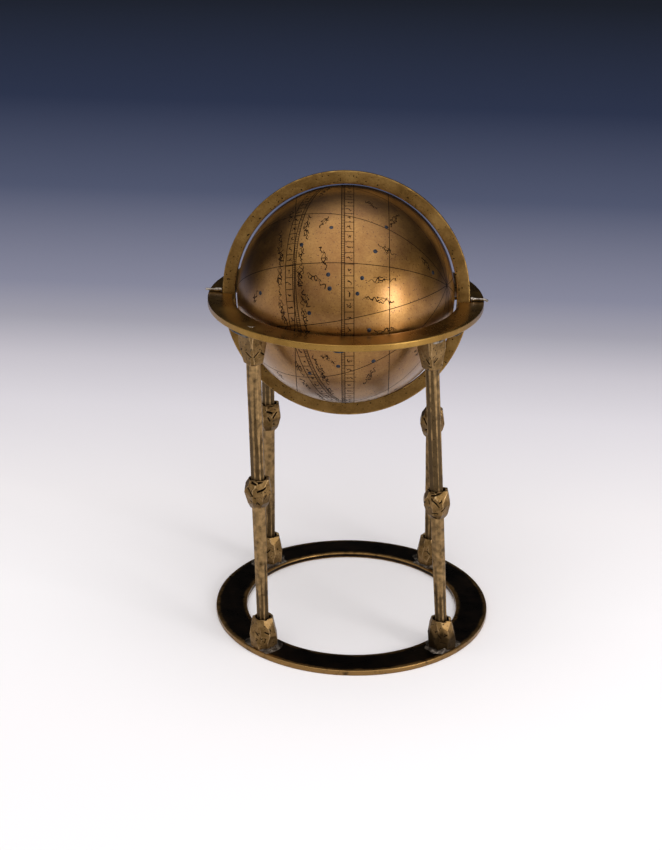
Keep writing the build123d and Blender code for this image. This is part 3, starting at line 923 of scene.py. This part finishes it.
def circle_frame(pole, start):
    """Three directions: the pole, start squared up to it, and the third that completes them."""
    pole = unit(np.asarray(pole, float))
    start = unit(start - pole * (start @ pole))
    return pole, start, np.cross(start, pole)


def around(axes, turn, height):
    """The direction at a turn about a circle frame's pole and a height towards it, in degrees."""
    pole, start, third = axes
    height = np.radians(height)[..., None]
    return np.cos(height) * swung(np.radians(turn), start, third) + np.sin(height) * pole


def engrave(paths, width, seed=None):
    """Engraved strokes over paths of directions (count, stations, 3): flat strips with a
    rectangular section, their tops just proud of the globe and their sides running into it.
    With a seed, the width swells and thins along each stroke as a graver's does."""
    count, stations = paths.shape[:2]
    paths = unit(paths)
    ahead = unit(np.gradient(paths, axis=1) + 1e-12)
    aside = unit(np.cross(paths, ahead))
    half = np.full((count, stations, 1), width * MM / 2)
    if seed is not None:
        dice = np.random.default_rng(seed)
        phase = dice.uniform(0, 6.28, (count, 1, 1))
        half = half * (0.85 + 0.35 * np.sin(np.linspace(0, 9, stations)[None, :, None] + phase))
    top, low = paths * (globe_r + 0.022 * MM), paths * (globe_r - 0.12 * MM)
    corners = globe_centre + np.stack(
        (low - aside * half, low + aside * half, top + aside * half, top - aside * half), 2
    ).reshape(count, stations * 4, 3)
    index = np.arange(stations * 4).reshape(stations, 4)
    sides = np.stack(
        (index[:-1], np.roll(index[:-1], -1, 1), np.roll(index[1:], -1, 1), index[1:]), -1
    ).reshape(-1, 4)
    quads = np.concatenate((sides, index[:1, ::-1], index[-1:]))
    return stamp(corners, quads, np.zeros((0, 3), int))


EQUATOR = circle_frame((0.9978, 0.0632, 0.0193), -Y)
ECLIPTIC = circle_frame(heading(36.8, 67.4), EQUATOR[0])
ECLIPTIC = (ECLIPTIC[0], ECLIPTIC[1], -ECLIPTIC[2])
whole = np.linspace(0, 360, 361)
thin, fine = 0.28, 0.2


def small_circles(axes, heights):
    """Circles of constant height about a frame's pole."""
    return around(axes, np.tile(whole, (len(heights), 1)), np.array(heights)[:, None] + 0 * whole)


def rungs(axes, turns, low, high, stations=4):
    """Short lines across a band, each at one turn, from the low to the high edge."""
    span = np.linspace(low, high, stations)
    return around(axes, np.repeat(turns[:, None], stations, 1), np.tile(span, (len(turns), 1)))


def curls(middles, ways, lengths, tall, seed, stations=44, pace=1.5):
    """Generic curls in place of words, no letters among them: over the share s of its length a
    stroke runs along ways with a small back and forth, and rises and falls as two sines of
    unequal pace, all laid flat on the globe in millimetres."""
    dice = np.random.default_rng(seed)
    count = len(middles)
    s = np.linspace(0, 1, stations)[None]
    lengths = np.asarray(lengths, float)[:, None]
    beats = lengths / pace
    p, q, w = (dice.uniform(0, 6.28, (count, 1)) for _ in range(3))
    x = lengths * (s - 0.5) + 0.42 * np.sin(6.283 * beats * s + p)
    y = tall * (
        0.55 * np.sin(6.283 * beats * s + q) * (0.55 + 0.45 * np.sin(6.283 * beats * s * 0.37 + w))
        + 0.3 * np.sin(6.283 * beats * 1.83 * s + w)
    )
    middles = unit(middles)
    ways = unit(ways - middles * (ways * middles).sum(-1, keepdims=True))
    side = np.cross(middles, ways)
    x, y = x[..., None] * MM / globe_r, y[..., None] * MM / globe_r
    return middles[:, None] + x * ways[:, None] + y * side[:, None]


def towards(middles, lean):
    """The way across the globe at an angle from the direction of the right-hand pin."""
    middles = unit(middles)
    right = unit(X - middles * middles[:, :1])
    up = np.cross(middles, right)
    return swung(np.radians(lean), right, up)


def engraved(name, *strokes):
    """A piece of engraving on the globe, from sets of strokes."""
    piece(name, strokes, engraved_dark, "globe", smooth=False)


# Circles: the equator's band, the ecliptic's band, the tropics, and six circles of longitude
equator_rings = small_circles(EQUATOR, (-2.0, -0.4, 4.2, 22.6, -26.4))
ecliptic_rings = small_circles(ECLIPTIC, (-0.8, -2.5, -6.7))
rings_cut = np.concatenate((equator_rings, ecliptic_rings))
longitudes = np.array([144.5, 174.6, 205.6, 237.2, 269.5, 295.0])[:, None]
meridians_cut = around(ECLIPTIC, longitudes + 0 * whole, 0 * longitudes + whole - 180)
engraved("globe_circles_engraved", engrave(rings_cut, thin), engrave(meridians_cut, thin * 0.95))

# Degree ticks and cell walls of the two bands
degrees = np.arange(0.0, 360.0, 1.0)
cells = np.arange(0.0, 360.0, 6.0)
equator_cells, ecliptic_cells = cells + 4.5, cells + 1.0
engraved(
    "globe_scales_engraved",
    engrave(rungs(EQUATOR, degrees + 0.5, -2.0, -0.4, 2), fine),
    engrave(rungs(EQUATOR, equator_cells, -0.4, 4.2), thin * 0.9),
    engrave(rungs(ECLIPTIC, degrees, -2.5, -0.8, 2), fine),
    engrave(rungs(ECLIPTIC, ecliptic_cells, -6.7, -2.5), thin * 0.9),
)

# Curls in the cells
equator_marks = around(EQUATOR, equator_cells + 3.0, 0 * cells + 1.9)
ecliptic_marks = around(ECLIPTIC, ecliptic_cells + 3.0, 0 * cells - 4.6)
dice = np.random.default_rng(3)
marks = np.concatenate((equator_marks, ecliptic_marks))
count = len(marks)
mark_lengths = dice.uniform(1.2, 2.4, count)
mark_ways = towards(marks, dice.normal(-35, 28, count))
dots = marks + dice.normal(0, 0.006, marks.shape)
dot_ways = towards(marks, dice.normal(40, 30, count))
engraved(
    "globe_cell_marks_engraved",
    engrave(curls(marks, mark_ways, mark_lengths, 0.7, 5, 22, 1.9), 0.32, 6),
    engrave(curls(dots, dot_ways, mark_lengths * 0.45, 0.45, 7, 14, 1.4), 0.26, 8),
)

# Curls beside the stars and along the ecliptic: turn, height, lean and length
LABELS = np.array(
    (
        (59, -10, -122, 5.6), (38, -9, -71, 9.5), (26, -12, -37, 8.5), (16, -17, -70, 6.6),
        (45, 23, -21, 7.2), (68, 26, 72, 9.5), (28, 22, 8, 11.3), (17, 20, -8, 12.0),
        (0, 24, 0, 9.1), (45, 47, -36, 5.9), (-16, -5, -37, 5.9), (-29, 16, 62, 10.5),
        (14, -50, 57, 5.2), (53, -19, -78, 5.6), (75, 13, -35, 5.9), (-22, -10, -67, 11.0),
        (-40, -18, -66, 7.4), (-41, -5, -65, 6.3), (-23, 43, -69, 3.8), (-45, -33, -57, 3.9),
        (42, -21, -84, 7.8), (27, -21, -81, 6.9), (9, -18, -81, 12.5), (49, -34, -84, 14.0),
        (27, -33, -84, 7.7), (11, -31, -78, 11.4),
    )
)
# Each star's place: the mean of the stud corners that lie within 2.6 degrees of each other
star_rows = unit(corners_of("star_studs") - globe_centre)
first = (star_rows @ star_rows.T > np.cos(np.radians(2.6))).argmax(1)
stars = unit(np.stack([star_rows[first == k].mean(0) for k in np.unique(first)]))
hidden = stars[stars[:, 1] > -0.12]
hidden_ways = towards(hidden, dice.uniform(-160, 160, len(hidden)))
hidden_lengths = dice.uniform(4.5, 9.5, len(hidden))
hidden_middles = hidden + hidden_ways * ((hidden_lengths / 2 + 1.8) * MM / globe_r)[:, None]
far_turns = np.arange(40.0, 330.0, 29.0) + 180.0
far_above = around(ECLIPTIC, far_turns + 175, 0 * far_turns + 2.2)
far_below = around(ECLIPTIC, far_turns + 168, 0 * far_turns - 9.4)
far_middles = np.concatenate((far_above, far_below))
far_ways = np.cross(far_middles, ECLIPTIC[0])
near_middles = heading(LABELS[:, 0], LABELS[:, 1])
near_ways = towards(near_middles, LABELS[:, 2])
label_middles = np.concatenate((near_middles, hidden_middles, far_middles))
label_ways = np.concatenate((near_ways, hidden_ways, far_ways))
far_lengths = dice.uniform(6, 11, len(far_middles))
label_lengths = np.concatenate((LABELS[:, 3], hidden_lengths, far_lengths))
nudge = np.cross(unit(label_middles), label_ways)
long_curls = curls(label_middles, label_ways, label_lengths, 1.1, 9, 90, 2.3)
label_strokes = [engrave(long_curls, 0.35, 10)]
# Smaller curls beside them: off to the side, slip along, share of length, height, seed,
# stations, pace and width
for off, slip, share, tall, seed, stations, pace, width in (
    (0.9, 1.5, 0.4, 0.5, 12, 40, 1.7, 0.28), (-0.8, 2.2, 0.25, 0.45, 14, 26, 1.5, 0.3)
):
    slid = label_ways * dice.uniform(-1, 1, (len(label_middles), 1)) * slip * MM / globe_r
    beside = label_middles + nudge * off * MM / globe_r + slid
    small = curls(beside, label_ways, label_lengths * share, tall, seed, stations, pace)
    label_strokes.append(engrave(small, width, seed + 1))
engraved("globe_curls_engraved", *label_strokes)


def buttons(centres, normals, radii, rows, columns):
    """Small round heads: rings at (share of the radius, rise in millimetres) round a normal, from
    a point underneath to a point on top, the same faces for every head."""
    normals = unit(normals)
    across = unit(np.cross(normals, np.where(np.abs(normals[:, :1]) > 0.8, Z, X)))
    third = np.cross(normals, across)
    rim = swung(whole_turn(columns)[None], across[:, None], third[:, None])
    share, rise = np.array(rows).T
    share, rise = share[1:-1], rise * MM
    grid = (
        centres[:, None, None]
        + radii[:, None, None, None] * share[None, :, None, None] * rim[:, None]
        + rise[None, 1:-1, None, None] * normals[:, None, None]
    )
    points, quads, tris, _ = skin(grid[0], caps=True)
    ends = centres[:, None] + rise[[0, -1]][None, :, None] * normals[:, None]
    corners = np.concatenate((grid.reshape(len(centres), -1, 3), ends), 1)
    return stamp(corners, quads, tris)


star_dice = np.random.default_rng(21)
star_radii = np.full(len(stars), 0.85 * MM) * star_dice.uniform(0.9, 1.04, len(stars))
stud_rows = ((0, -0.42), (0.97, -0.3), (1.0, 0.0), (0.93, 0.03), (0.5, 0.045), (0, 0.05))
studs = buttons(globe_centre + stars * globe_r, stars, star_radii, stud_rows, 20)
remade("star_studs", "inlaid", [studs], star_silver, "globe")

# Pits on the meridian ring's two faces, most of them near its inner edge
pit_dice = np.random.default_rng(31)
pit_count = 210
pit_turn = pit_dice.uniform(0, 2 * np.pi, pit_count)
near_edge = pit_dice.random(pit_count) < 0.6
pit_r = np.where(
    near_edge, meridian_in + np.abs(pit_dice.normal(0.45, 0.35, pit_count)) * MM + 0.3 * MM,
    pit_dice.uniform(meridian_in + 0.6 * MM, meridian_out - 0.6 * MM, pit_count),
)
pit_side = np.where(pit_dice.random(pit_count) < 0.5, 1.0, -1.0)[:, None]
pit_places = globe_centre + pit_r[:, None] * swung(pit_turn, X, meridian_up)
pit_places = pit_places + pit_side * meridian_t / 2 * lean_normal
pit_radii = pit_dice.uniform(0.1, 0.32, pit_count) * MM
pit_rows = ((0, -0.1), (0.9, -0.06), (1.0, 0.004), (0.4, 0.008), (0, 0.008))
pits = buttons(pit_places, pit_side * lean_normal, pit_radii, pit_rows, 10)
piece("meridian_pits", [pits], engraved_dark, "meridian")


# Floor, light and camera


def floor_material():
    """Plain paper with the studio light's falloff painted on: pale as if lit under the object and
    to the front and sides, and painted shade falling to slate blue behind. The tone follows the
    distance behind the object, y, up to 1.6 metres."""
    material, tree, shader, place = new_material("paper_with_painted_falloff")
    back = add(tree, "SeparateXYZ", {0: place}).outputs[1]
    tone = ramp(
        tree, spread_over(tree, back, 0.0, 1.6, 0.0, 1.0), (0.0, "#F2F0F3"), (0.06, "#EAE7EA"),
        (0.13, "#D8D5DC"), (0.17, "#C4C1CA"), (0.21, "#9F9EAB"), (0.25, "#84869A"),
        (0.38, "#4E556E"), (0.55, "#28314A"), (0.85, "#141A27"), (1.0, "#0C1018"),
    )
    grain = noise(tree, place, 3.0, 2.0)
    raised = add(tree, "Bump", {"Height": grain, "Strength": 0.05, "Distance": 0.1 * MM})
    tree.links.new(tone, shader.inputs["Base Color"])
    tree.links.new(raised.outputs[0], shader.inputs["Normal"])
    shader.inputs["Roughness"].default_value = 0.9
    shader.inputs["Specular IOR Level"].default_value = 0.1
    return material


floor_mesh = bpy.data.meshes.new("floor_sheet")
floor_mesh.from_pydata([(-6, -6, 0), (6, -6, 0), (6, 6, 0), (-6, 6, 0)], [], [(0, 1, 2, 3)])
floor_mesh.materials.append(floor_material())
floor = bpy.data.objects.new("floor_sheet", floor_mesh)
bpy.context.scene.collection.objects.link(floor)

world = bpy.data.worlds.new("studio_air")
world.use_nodes = True
sky = world.node_tree
way = add(sky, "SeparateXYZ", {0: add(sky, "TexCoord").outputs["Generated"]})
rise = add(
    sky, "Math", {0: way.outputs[1], 1: -0.22, 2: way.outputs[2]}, operation="MULTIPLY_ADD"
).outputs[0]
glow = ramp(
    sky, rise, (0.0, "#100F0E"), (0.3, "#1E1D1C"), (0.5, "#403E3D"), (0.67, "#747372"),
    (0.8, "#C8C7C6"), (0.9, "#F4F3F2"), (1.0, "#FCFBFA"),
)
sky.links.new(glow, sky.nodes["Background"].inputs[0])
sky.nodes["Background"].inputs[1].default_value = 2.1
bpy.context.scene.world = world


def softbox(name, way, distance, width, height, watts, colour):
    """An area light at a distance from the globe along a direction, facing the globe."""
    lamp = bpy.data.lights.new(name, "AREA")
    lamp.shape, lamp.size, lamp.size_y = "RECTANGLE", width, height
    lamp.energy, lamp.color = watts, linear(colour)[:3]
    holder = bpy.data.objects.new(name, lamp)
    bpy.context.scene.collection.objects.link(holder)
    away = Vector(way).normalized()
    holder.location = Vector(globe_centre) + away * distance
    holder.rotation_mode = "QUATERNION"
    holder.rotation_quaternion = away.to_track_quat("Z", "Y")
    holder.visible_camera = False


softbox("key_right", (0.79, -0.6, 0.16), 1.1, 0.34, 0.44, 5.0, "#FFFDFC")
softbox("side_right", (0.9, -0.42, 0.17), 1.2, 1.0, 0.6, 2.6, "#FFFAF4")
softbox("side_left", (-0.95, -0.3, 0.2), 1.3, 1.0, 0.7, 2.0, "#FFFAF4")
softbox("front_wall", (0.0, -1.0, 0.42), 1.7, 2.6, 1.0, 7.0, "#FFFCF8")

camera = bpy.data.cameras.new("viewpoint")
camera.sensor_width = 36.0
camera.lens = 79.31
camera.shift_x, camera.shift_y = -15 / 850, -15 / 850
camera.clip_start, camera.clip_end = 0.02, 30.0
viewpoint = bpy.data.objects.new("viewpoint", camera)
bpy.context.scene.collection.objects.link(viewpoint)
forward, upward = Vector((-0.05442, 0.91889, -0.39074)), Vector((-0.04129, 0.38891, 0.92035))
right = forward.cross(upward).normalized()
turned = Matrix((right, upward, -forward)).transposed()
viewpoint.matrix_world = Matrix.Translation((0.03988, -0.69831, 0.38704)) @ turned.to_4x4()
bpy.context.scene.camera = viewpoint
bpy.context.scene.view_settings.view_transform = "Standard"
